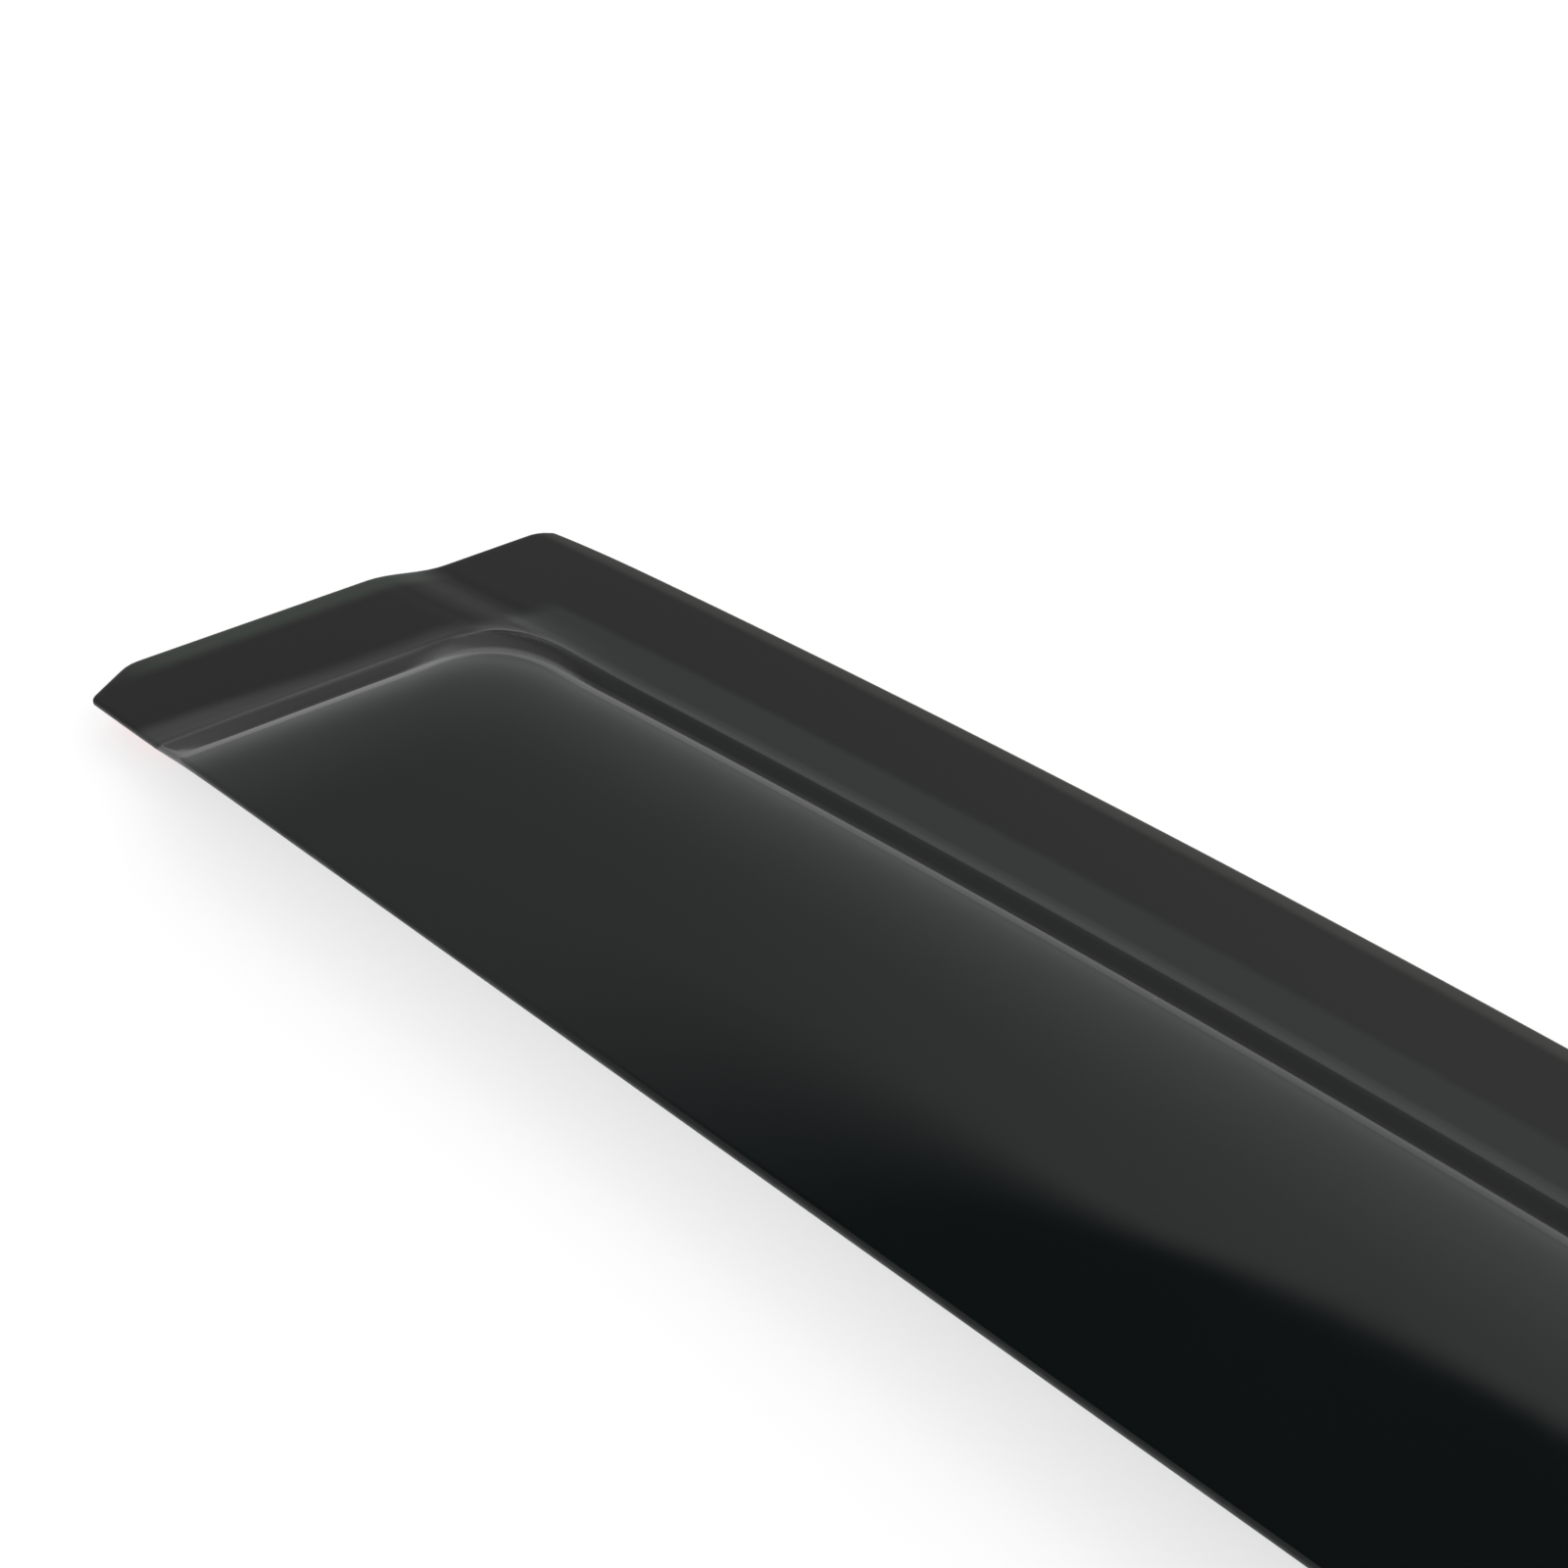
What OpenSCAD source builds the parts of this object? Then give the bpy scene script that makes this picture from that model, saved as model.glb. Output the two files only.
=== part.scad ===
// Window rain deflector for a car door, left end square and right end tapered.
// One smoked acrylic moulding stuck to the door frame with foam tape, whose red
// release liner is still on. Millimetres. +X runs along the door, +Y points up
// to the roof and +Z points away from the car. The origin is on the liner, on
// the middle line of the upper tape, under the crown of the arched upper edge.

/* [Outline] */
// Radius of the arched upper edge
arch_r = 2150; // [1600:50:4000]
// Length from the crown of the arch to the upper left corner
left_len = 170.4; // [130:0.2:240]
// Length from the crown of the arch to the tapered tip
right_len = 380; // [330:5:440]
// Width at the crown, from the upper edge to the free edge
visor_w = 87.3; // [78:0.1:105]
// Lean of the left end edge from square, in degrees
end_lean = 20.8; // [0:0.2:28]
// How far the upper edge dips below its arch at the left end
end_dip = 1; // [0:0.1:1.5]
// Length of the upper edge over which it dips
dip_len = 22; // [12:1:30]
// Reach of the rounding at the upper left corner
corner_len = 3.6; // [1.6:0.2:5]
// Length up the end edge of the cut across the lower left corner
heel_up = 11; // [4:0.5:14]
// Length along the free edge of the cut across the lower left corner
heel_in = 6.6; // [2:0.2:8]
// Reach of the rounding where that cut meets the free edge
heel_round = 1.2; // [0.4:0.2:2]
// Length over which the upper edge bends down to the tip
taper_len = 150; // [110:5:200]
// Share of its ellipse that the bend runs through, where 1 ends upright
taper_turn = 0.93; // [0.7:0.01:0.96]
// Height of the cut tip
tip_w = 13; // [12:0.5:20]
// Lean of the tip's cut from square, in degrees
tip_lean = 30; // [0:1:35]

/* [Flange] */
// Width of the flat flange along the upper edge
flange_w = 22; // [16:0.5:26]
// Width of the flat flange along the left end
end_flange_w = 19; // [17:0.5:24]
// How far the end flange stands out past the upper flange
end_raise = 2.5; // [1:0.25:5]
// Distance from the upper edge at which the rise to the end flange starts
raise_from = 18; // [16:0.5:24]
// Length over which the flange rises to the end flange
raise_run = 12.5; // [8:0.5:18]

/* [Step] */
// Height of the crest above the upper flange
step_h = 11; // [7:0.5:14]
// Length over which the surface climbs from the upper flange to the crest
step_run = 27; // [18:0.5:30]
// Length over which it climbs from the end flange to the crest
end_step_run = 28.5; // [16:0.5:30]
// Share of the climb that the hollow fillet at its foot takes
foot_share = 0.09; // [0.06:0.01:0.25]
// Share of the climb that the rounded crest takes
crest_share = 0.66; // [0.4:0.01:0.7]
// Rounding of the step where the two climbs meet, as a share of a climb
corner_blend = 0.4; // [0.1:0.05:0.6]
// Length over which the step runs out into the tapered tip
runout_len = 130; // [90:5:180]

/* [Face] */
// Radius of the barrel-shaped face, across the visor
face_r = 380; // [250:10:900]
// Inward slant of the trimmed free edge, for each unit of height
trim_slope = 0.4; // [0:0.05:0.6]

/* [Wall] */
// Thickness of the moulding
wall = 2.6; // [2:0.1:3.2]
// Radius of the rounded outer edges
edge_r = 0.8; // [0.4:0.1:1.2]

/* [Tape] */
// Width of the foam tape under the upper flange
tape_w = 13; // [8:0.5:14]
// Bare rim between the upper edge and its tape
tape_rim = 1.9; // [0.6:0.1:2.5]
// Width of the foam tape under the end flange
end_tape_w = 12; // [8:0.5:13]
// Bare rim between the end edge and its tape
end_tape_rim = 4; // [2:0.2:4.6]
// Distance that the tapes stop short of the tip and of the free edge
tape_gap = 2.5; // [1:0.5:5]
// Thickness of the foam tape
tape_t = 1; // [0.8:0.1:1.6]
// Thickness of the release liner
liner_t = 0.2; // [0.1:0.05:0.3]

/* [Hidden] */

smoke = [0.02, 0.022, 0.022];
foam_grey = [0.12, 0.12, 0.13];
liner_red = [0.7, 0.06, 0.05];

// Heights of the stack, from the liner up to the outer face of the flange
tape_z = liner_t;
under_z = liner_t + tape_t;
flange_z = under_z + wall;
// The source is drawn from the crown of the upper edge, and moved by this much
crown_y = tape_rim + tape_w / 2;
// Longest steps between lines across the visor, before the bend and along it
line_gap = 12;
bend_gap = 5.8;
// Longest step between points along the tapes
tape_step = 9;
// Room that the face keeps where the visor narrows, as a share of the step
face_room = 1.15;
// Length over which the lines across turn from the lean of the end to square
square_up = 102;
// Depth of the band along the free edge that is cut on the slant
trim_band = 8;
// Share of the cut across the lower left corner that eases into the end edge
heel_ease = 0.3;
// Step for the slopes that give the wall its direction
probe = 0.05;

function ease(t) = let (c = min(max(t, 0), 1)) c * c * (3 - 2 * c);
function steps(a, b, n) = [for (k = [0 : n]) a + (b - a) * k / n];
function square_root_of_one_less(t) = sqrt(max(1 - t * t, 0));

// Outline, seen from outside, with the crown of the upper edge at zero

// Height of the face over the flange where the free edge passes the crown
free_h = step_h - pow(visor_w - flange_w - step_run, 2) / (2 * face_r);
// Line of the free edge at the tip, where the step has run out
tip_free_y = -visor_w + trim_slope * free_h;
bend_x = right_len - taper_len;
bend_full = 1 - square_root_of_one_less(taper_turn);
function arch_drop(x) = arch_r - sqrt(arch_r * arch_r - x * x);
bend_drop = -(tip_free_y + tip_w) - arch_drop(right_len);
function bend_at(x) = min(max((x - bend_x) / taper_len, 0), 1) * taper_turn;
// The upper edge is an arch, and past bend_x an ellipse drops away from it
function top_y(x) =
    -arch_drop(x) - bend_drop * (1 - square_root_of_one_less(bend_at(x))) / bend_full;
function top_slope(x) =
    let (b = bend_at(x))
    -x / sqrt(arch_r * arch_r - x * x)
    - bend_drop * b * taper_turn / (square_root_of_one_less(b) * bend_full * taper_len);
function top_stretch(x) = sqrt(1 + pow(top_slope(x), 2));
// The moulding is cut a little lower than that at its left end
function edge_y(x) = top_y(x) - end_dip * pow(max(1 - (x + left_len) / dip_len, 0), 2);

// Distances inwards from the upper edge and from the left end edge
function from_top(x, y) = (top_y(x) - y) / top_stretch(x);
function from_end(x, y) =
    (x + left_len) * cos(end_lean) - (y - top_y(-left_len)) * sin(end_lean);

// Surface of the moulding, as a height above the upper flange

straight_share = 1 - foot_share - crest_share;
climb_rate = 1 / (foot_share / 2 + straight_share + crest_share / 3);
// A climb from 0 to 1: a hollow fillet, a straight slope, then a crest that
// bends most at its start and flattens out into the face
function climb(t) =
    t <= 0 ? 0
    : t < foot_share ? climb_rate * t * t / (2 * foot_share)
    : t < 1 - crest_share ? climb_rate * (t - foot_share / 2)
    : t < 1 ? 1 - climb_rate * crest_share * pow((1 - t) / crest_share, 3) / 3
    : 1;
function soft_min(a, b, k) = min(a, b) - pow(max(k - abs(a - b), 0), 2) / (4 * k);
function height(x, y) =
    let (
        s = from_top(x, y) - flange_w,
        e = from_end(x, y) - end_flange_w,
        q = climb(soft_min(s / step_run, e / end_step_run, corner_blend)),
        base = end_raise * ease((s + flange_w - raise_from) / raise_run)
            * (1 - ease(e / end_step_run)),
        crest = step_h * (1 - ease((x - right_len + runout_len) / runout_len)),
        fall = pow(max(s - step_run, 0), 2) / (2 * face_r)
    )
    base + (crest - base - fall) * q;

// Grid of points: lines across the visor, each a row of points down it

// Lines across start at these places on the upper edge
end_lines = concat(
    [0, edge_r * 0.3, edge_r, end_flange_w * 0.5, end_flange_w],
    [for (t = steps(0, foot_share, 4)) if (t > 0) end_flange_w + t * end_step_run],
    [for (t = steps(foot_share, 1 - crest_share, 2)) if (t > foot_share)
        end_flange_w + t * end_step_run],
    [for (t = steps(1 - crest_share, 1, 9)) if (t > 1 - crest_share)
        end_flange_w + t * end_step_run]
);
end_reach = end_flange_w + end_step_run;
left_x = -left_len + corner_len;
even_x = left_x + end_reach / cos(end_lean);
even_n = ceil((bend_x - even_x) / line_gap);
bend_n = ceil(taper_len / bend_gap);
line_x = concat(
    [for (e = end_lines) left_x + e / cos(end_lean)],
    [for (k = [1 : even_n]) even_x + (bend_x - even_x) * k / even_n],
    [for (k = [1 : bend_n - 1]) bend_x + (taper_len - edge_r) * sin(90 * k / bend_n)],
    [right_len - edge_r, right_len - edge_r * 0.3, right_len]
);
line_n = len(line_x);

// Each line leans with the end that it is near
function lean_at(x) =
    end_lean * (1 - ease((x - even_x) / square_up))
    + tip_lean * ease((x - bend_x) / taper_len);

// Depths of the points down a line: the rounded rims keep their size, and the
// rest are the flange, the climb and the face, squeezed where the visor narrows
climb_marks = concat(
    [0.5 * flange_w, flange_w],
    [for (t = steps(0, foot_share, 4)) if (t > 0) flange_w + t * step_run],
    [for (t = steps(foot_share, 1 - crest_share, 2)) if (t > foot_share)
        flange_w + t * step_run],
    [for (t = steps(1 - crest_share, 1, 9)) if (t > 1 - crest_share)
        flange_w + t * step_run]
);
// Shares of the face, and of the way from the rim to the first of those marks
face_shares = [0.22, 0.43, 0.6, 0.74, 0.84, 0.91, 0.96];
corner_share = (corner_len - edge_r) / (climb_marks[0] - edge_r);
corner_shares = [corner_share / 2, corner_share];
rim_marks = [0, edge_r * 0.3, edge_r];
step_reach = flange_w + step_run;
function depths(full, stretch) =
    let (
        reach = step_reach * stretch,
        squeeze = min(1, (full - 2 * edge_r) / (reach * face_room)),
        first = climb_marks[0] * stretch * squeeze,
        foot = reach * squeeze
    )
    concat(
        rim_marks,
        [for (c = corner_shares) edge_r + (first - edge_r) * c],
        [for (m = climb_marks) m * stretch * squeeze],
        [for (f = face_shares) foot + (full - edge_r - foot) * f],
        [for (k = [2 : -1 : 0]) full - rim_marks[k]]
    );

// Cut across the lower left corner, as a share of its length along the free edge
function heel_cut(up) =
    let (t = max(1 - up / (heel_up * cos(end_lean)), 0))
    (t < heel_ease ? t * t / (2 * heel_ease) : t - heel_ease / 2) / (1 - heel_ease / 2);

// Rounding of the upper left corner and the cut, as a shift of the end edge
function corner_shift(down, up) =
    (down < corner_len ? -corner_len * square_root_of_one_less(1 - down / corner_len)
        : -corner_len)
    + (heel_in - heel_round) * heel_cut(up)
    + (up < heel_round ? heel_round * (1 - square_root_of_one_less(1 - up / heel_round)) : 0);

// Free edge: it is trimmed on a slant, so it lies further out where it is higher
function free_y(x) = -visor_w - trim_slope * (height(x, -visor_w) - free_h);

function line_points(i) =
    let (
        x0 = line_x[i],
        y0 = edge_y(x0),
        lean = tan(lean_at(x0)),
        m = top_slope(x0),
        low = free_y(x0 - (y0 + visor_w) * lean),
        full = y0 - low,
        marks = depths(full, top_stretch(x0) / (1 - m * lean)),
        near = 1 - ease((x0 - left_x) / end_flange_w)
    )
    [for (d = marks) [x0 - d * lean + near * corner_shift(d, full - d), y0 - d]];

grid = [for (i = [0 : line_n - 1]) line_points(i)];
row_n = len(grid[0]);

// Drop of the rounded rim at a distance from the edge
function rim_drop(d) = d >= edge_r ? 0 : edge_r - sqrt(edge_r * edge_r - pow(edge_r - d, 2));
function rim_of(k, n) = k < 3 ? rim_marks[k] : n - 1 - k < 3 ? rim_marks[n - 1 - k] : edge_r;

outer = [for (i = [0 : line_n - 1]) for (j = [0 : row_n - 1])
    let (p = grid[i][j])
    [p[0], p[1], flange_z + height(p[0], p[1])
        - rim_drop(min(rim_of(i, line_n), rim_of(j, row_n)))]];

// The inner face lies one wall inside the outer one, square to it
inner = [for (i = [0 : line_n - 1]) for (j = [0 : row_n - 1])
    let (
        p = grid[i][j],
        h = height(p[0], p[1]),
        gx = (height(p[0] + probe, p[1]) - height(p[0] - probe, p[1])) / (2 * probe),
        gy = (height(p[0], p[1] + probe) - height(p[0], p[1] - probe)) / (2 * probe),
        k = wall / sqrt(1 + gx * gx + gy * gy),
        slant = trim_slope * wall * ease(1 - (p[1] - grid[i][row_n - 1][1]) / trim_band)
    )
    [p[0] + gx * k, p[1] + gy * k + slant, flange_z + h - k]];

function at(i, j) = i * row_n + j;
count = line_n * row_n;
shell_faces = concat(
    [for (i = [0 : line_n - 2]) for (j = [0 : row_n - 2])
        each [[at(i, j), at(i + 1, j), at(i + 1, j + 1)],
            [at(i, j), at(i + 1, j + 1), at(i, j + 1)]]],
    [for (i = [0 : line_n - 2]) for (j = [0 : row_n - 2])
        each [[count + at(i, j), count + at(i + 1, j + 1), count + at(i + 1, j)],
            [count + at(i, j), count + at(i, j + 1), count + at(i + 1, j + 1)]]],
    [for (i = [0 : line_n - 2])
        each [[at(i, 0), count + at(i, 0), count + at(i + 1, 0)],
            [at(i, 0), count + at(i + 1, 0), at(i + 1, 0)],
            [at(i, row_n - 1), at(i + 1, row_n - 1), count + at(i + 1, row_n - 1)],
            [at(i, row_n - 1), count + at(i + 1, row_n - 1), count + at(i, row_n - 1)]]],
    [for (j = [0 : row_n - 2])
        each [[at(0, j), at(0, j + 1), count + at(0, j + 1)],
            [at(0, j), count + at(0, j + 1), count + at(0, j)],
            [at(line_n - 1, j), count + at(line_n - 1, j + 1), at(line_n - 1, j + 1)],
            [at(line_n - 1, j), count + at(line_n - 1, j), count + at(line_n - 1, j + 1)]]]
);

module visor_shell() {
    color(smoke)
    translate([0, crown_y, 0])
    polyhedron(points = concat(outer, inner), faces = shell_faces, convexity = 6);
}

// Foam tapes, and the liner on each

// A point at a depth square in from the upper edge
function rail(x, d) = [x, top_y(x)] + [top_slope(x), -1] * d / top_stretch(x);
// Where a line at that depth meets the upper tape's slanted left end
function tape_start(d) =
    -left_len + (end_tape_rim - d * sin(end_lean))
    / (cos(end_lean) - top_slope(-left_len) * sin(end_lean));
tape_stop = right_len - tape_rim - tape_gap;
function tape_x(d) =
    let (a = tape_start(d), n = ceil((bend_x - a) / tape_step), m = ceil(taper_len / bend_gap))
    concat(
        [for (k = [0 : n]) a + (bend_x - a) * k / n],
        [for (k = [1 : m]) bend_x + (tape_stop - bend_x) * sin(90 * k / m)]
    );
function back(list) = [for (k = [len(list) - 1 : -1 : 0]) list[k]];
upper_tape_line = concat(
    [for (x = tape_x(tape_rim)) rail(x, tape_rim)],
    [for (x = back(tape_x(tape_rim + tape_w))) rail(x, tape_rim + tape_w)]
);

// A point at a distance in from the end edge, at a height on the visor
function end_point(e, y) =
    [-left_len + (e + (y - top_y(-left_len)) * sin(end_lean)) / cos(end_lean), y];
end_tape_top = top_y(-left_len) - raise_from - raise_run;
end_tape_foot = free_y(-left_len - visor_w * tan(end_lean)) + trim_slope * wall + tape_gap;
end_tape_line = [
    end_point(end_tape_rim, end_tape_top),
    end_point(end_tape_rim + end_tape_w, end_tape_top),
    end_point(end_tape_rim + end_tape_w, end_tape_foot),
    end_point(end_tape_rim, end_tape_foot)
];

module strip(line, z, t) {
    translate([0, crown_y, z]) linear_extrude(t) polygon(line);
}

module upper_tape() {
    color(foam_grey) strip(upper_tape_line, tape_z, tape_t);
}

module end_tape() {
    color(foam_grey) strip(end_tape_line, tape_z + end_raise, tape_t);
}

module upper_liner() {
    color(liner_red) strip(upper_tape_line, 0, liner_t);
}

module end_liner() {
    color(liner_red) strip(end_tape_line, end_raise, liner_t);
}

visor_shell();
upper_tape();
end_tape();
upper_liner();
end_liner();
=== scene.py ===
"""Window rain deflector for a car door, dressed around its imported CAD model.

The CAD model is loaded as a fixed frame. Each operator below builds one piece
or one group of like pieces over it, and the last one builds the stage. Lengths
are in metres, +X runs along the door from the square end to the tapered tip,
+Y points to the roof and +Z points away from the car.
"""
import math

import bpy
import numpy as np
from bpy.props import FloatProperty, FloatVectorProperty, PointerProperty
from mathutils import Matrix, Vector


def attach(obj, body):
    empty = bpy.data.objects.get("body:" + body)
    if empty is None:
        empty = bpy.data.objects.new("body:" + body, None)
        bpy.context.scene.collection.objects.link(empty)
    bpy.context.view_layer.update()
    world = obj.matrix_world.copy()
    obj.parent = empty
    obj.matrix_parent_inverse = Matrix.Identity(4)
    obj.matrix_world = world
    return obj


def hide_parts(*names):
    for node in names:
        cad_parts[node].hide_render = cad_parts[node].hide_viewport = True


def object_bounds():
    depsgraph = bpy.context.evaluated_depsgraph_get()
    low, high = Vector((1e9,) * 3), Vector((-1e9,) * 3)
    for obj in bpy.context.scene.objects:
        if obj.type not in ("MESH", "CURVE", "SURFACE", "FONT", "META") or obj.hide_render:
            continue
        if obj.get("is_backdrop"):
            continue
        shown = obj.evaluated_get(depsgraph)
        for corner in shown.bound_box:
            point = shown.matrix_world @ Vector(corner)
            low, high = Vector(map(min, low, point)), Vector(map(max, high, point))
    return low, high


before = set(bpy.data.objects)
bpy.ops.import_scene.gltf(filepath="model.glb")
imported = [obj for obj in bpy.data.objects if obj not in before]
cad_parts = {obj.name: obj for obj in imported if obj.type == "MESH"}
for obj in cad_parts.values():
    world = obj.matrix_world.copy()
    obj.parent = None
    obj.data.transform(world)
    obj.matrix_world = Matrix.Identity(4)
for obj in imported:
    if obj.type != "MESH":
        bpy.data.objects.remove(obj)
cad_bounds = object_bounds()

bl_info = {
    "name": "Window Rain Deflector",
    "version": (1, 0, 0),
    "blender": (4, 5, 0),
    "location": "3D View > Sidebar > Deflector",
    "description": "Builds a smoked acrylic window deflector with its tapes and liners",
    "category": "Object",
}

MM = 0.001

# Turns of a rounded rim, from the upright side to the flat of the face
RIM_TURNS = np.radians(np.linspace(0.0, 90.0, 6))
# Step for the slopes that give the wall its direction
PROBE = 0.02 * MM
# Room that the face keeps where the moulding narrows, as a share of the step
FACE_ROOM = 1.15
# Length over which the lines across turn from the lean of the end to square
SQUARE_UP = 102 * MM
# Depth of the band along the free edge that is cut on the slant
TRIM_BAND = 8 * MM
# Share of the cut across the lower left corner that eases into the end edge
HEEL_EASE = 0.3


# Properties


def length(name, description, millimetres):
    """A length that a user may change, with its default given in millimetres."""
    return FloatProperty(name=name, description=description, default=millimetres * MM,
                         min=0.0, precision=5, unit="LENGTH", subtype="DISTANCE")


def share(name, description, default):
    """A share from 0 to 1 that a user may change."""
    return FloatProperty(name=name, description=description, default=default,
                         min=0.0, max=1.0, subtype="FACTOR")


def lean(name, description, degrees):
    """An angle that a user may change, with its default given in degrees."""
    return FloatProperty(name=name, description=description, default=math.radians(degrees),
                         unit="ROTATION", subtype="ANGLE")


def amount(name, description, default):
    """A plain number that a user may change."""
    return FloatProperty(name=name, description=description, default=default, min=0.0)


def colour(name, description, default):
    """A colour that a user may change."""
    return FloatVectorProperty(name=name, description=description, default=default, size=3,
                               min=0.0, max=1.0, subtype="COLOR")


class MouldingSizes(bpy.types.PropertyGroup):
    """Sizes of the moulding, as in the CAD source."""

    arch_radius: length("Arch Radius", "Radius of the arched upper edge", 2150)
    left_length: length("Left Length", "From the crown of the arch to the square end", 170.4)
    right_length: length("Right Length", "From the crown of the arch to the tip", 380)
    width: length("Width", "From the upper edge to the free edge at the crown", 87.3)
    end_lean: lean("End Lean", "Lean of the square end's edge", 20.8)
    end_dip: length("End Dip", "Dip of the upper edge at its left end", 1)
    dip_length: length("Dip Length", "Over which the upper edge dips", 22)
    corner_reach: length("Corner Reach", "Rounding of the upper left corner", 3.6)
    heel_up: length("Heel Height", "Cut across the lower left corner, up the end", 11)
    heel_in: length("Heel Length", "Cut across the lower left corner, along the edge", 6.6)
    heel_round: length("Heel Rounding", "Where the cut meets the free edge", 1.2)
    taper_length: length("Taper Length", "Over which the upper edge bends to the tip", 150)
    taper_turn: share("Taper Turn", "Share of its ellipse that the bend runs through", 0.93)
    tip_width: length("Tip Width", "Height of the cut tip", 13)
    tip_lean: lean("Tip Lean", "Lean of the tip's cut", 30)
    flange_width: length("Flange Width", "Flat flange along the upper edge", 22)
    end_flange_width: length("End Flange Width", "Flat flange along the square end", 19)
    end_raise: length("End Raise", "How far the end flange stands out", 2.5)
    raise_from: length("Raise Start", "From the upper edge to the start of the raise", 18)
    raise_run: length("Raise Run", "Over which the flange rises to the end flange", 12.5)
    step_height: length("Step Height", "Height of the crest above the flange", 11)
    step_run: length("Step Run", "From the upper flange to the crest", 27)
    end_step_run: length("End Step Run", "From the end flange to the crest", 28.5)
    foot_share: share("Foot Share", "Share of the climb in the hollow fillet", 0.09)
    crest_share: share("Crest Share", "Share of the climb in the rounded crest", 0.66)
    corner_blend: share("Corner Blend", "Rounding where the two climbs meet", 0.4)
    runout_length: length("Run-out Length", "Over which the step fades into the tip", 130)
    face_radius: length("Face Radius", "Barrel radius of the face", 380)
    trim_slope: share("Trim Slope", "Slant of the trimmed free edge", 0.4)
    wall: length("Wall", "Thickness of the moulding", 2.6)
    edge_radius: length("Edge Radius", "Rounding of the outer edges", 0.8)
    inner_edge_radius: length("Inner Edge Radius", "Rounding of the inner edges", 0.4)


class StripSizes(bpy.types.PropertyGroup):
    """Sizes of the foam tapes and of the liners on them."""

    tape_width: length("Tape Width", "Foam tape under the upper flange", 13)
    tape_rim: length("Tape Rim", "Bare rim outside the upper tape", 1.9)
    end_tape_width: length("End Tape Width", "Foam tape under the end flange", 12)
    end_tape_rim: length("End Tape Rim", "Bare rim outside the end tape", 4)
    tape_gap: length("Tape Gap", "How far the tapes stop short of tip and free edge", 2.5)
    tape_thickness: length("Tape Thickness", "Thickness of the foam", 1)
    liner_thickness: length("Liner Thickness", "Thickness of the film", 0.2)
    foam_bulge: length("Foam Bulge", "How far the pressed foam swells at its sides", 0.06)


class FinishValues(bpy.types.PropertyGroup):
    """Colours and finishes of the materials, among them the painted light and highlights on
    the acrylic.
    """

    backed: colour("Backed Acrylic", "Acrylic with foam behind it", (0.0012, 0.0012, 0.0012))
    smoke: colour("Smoke", "Acrylic over the open air", (0.0028, 0.0044, 0.0044))
    # Painted light: the pale table seen through the acrylic where no tape backs the upper
    # flange
    painted_see_through: colour("Bare Strip", "Acrylic with a pale table close behind it",
                 (0.0092, 0.0133, 0.0122))
    # Painted highlight along the upper fold
    painted_fold_highlight: colour("Upper Fold", "Acrylic where light gathers at the upper fold",
                       (0.0188, 0.0220, 0.0209))
    # Painted light: a broad highlight along the end fold, over the bare end strip
    painted_end_fold_light: colour("End Strip", "Bare strip between the end tape and the step",
                      (0.0285, 0.0285, 0.0282))
    # Painted light: the table's glow seen through the acrylic at the crest
    crest: colour("Crest", "Acrylic where light from below reaches the crest",
                  (0.0097, 0.0119, 0.0110))
    # Painted light along the bare end rim outside the tape
    painted_end_rim_light: colour("End Rim", "Bare rim outside the end tape", (0.0200, 0.0270, 0.0215))
    # Painted light along the bare upper rim outside the tape
    painted_upper_rim_light: colour("Upper Rim", "Bare rim outside the upper tape", (0.0225, 0.0223, 0.0197))
    # Painted highlight along the cut rims of the acrylic
    cut: colour("Cut Edge", "Polished rim that gathers light", (0.030, 0.036, 0.034))
    groove_gloss: share("Groove Gloss", "Strength of the gloss in the upper groove", 0.14)
    end_gloss: share("End Gloss", "Strength of the gloss in the end groove", 0.62)
    fold_gloss: share("Fold Gloss", "Strength of the gloss at the end fold", 0.42)
    line_gloss: share("Line Gloss", "Strength of the gloss where the crest begins", 0.42)
    rise_gloss: share("Rise Gloss", "Strength of the gloss on the rise", 0.6)
    top_gloss: share("Top Gloss", "Strength left of that near the top of the rise", 0.88)
    corner_haze: share("Corner Haze", "Added roughness where the grooves meet", 0.25)
    gloss: share("Gloss Roughness", "Roughness of the clean acrylic", 0.055)
    foam: colour("Foam", "Closed-cell foam", (0.020, 0.020, 0.022))
    film: colour("Film", "Release liner", (0.52, 0.022, 0.022))
    film_light: colour("Creased Film", "Release liner where it is stretched pale",
                       (0.66, 0.07, 0.06))


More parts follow.
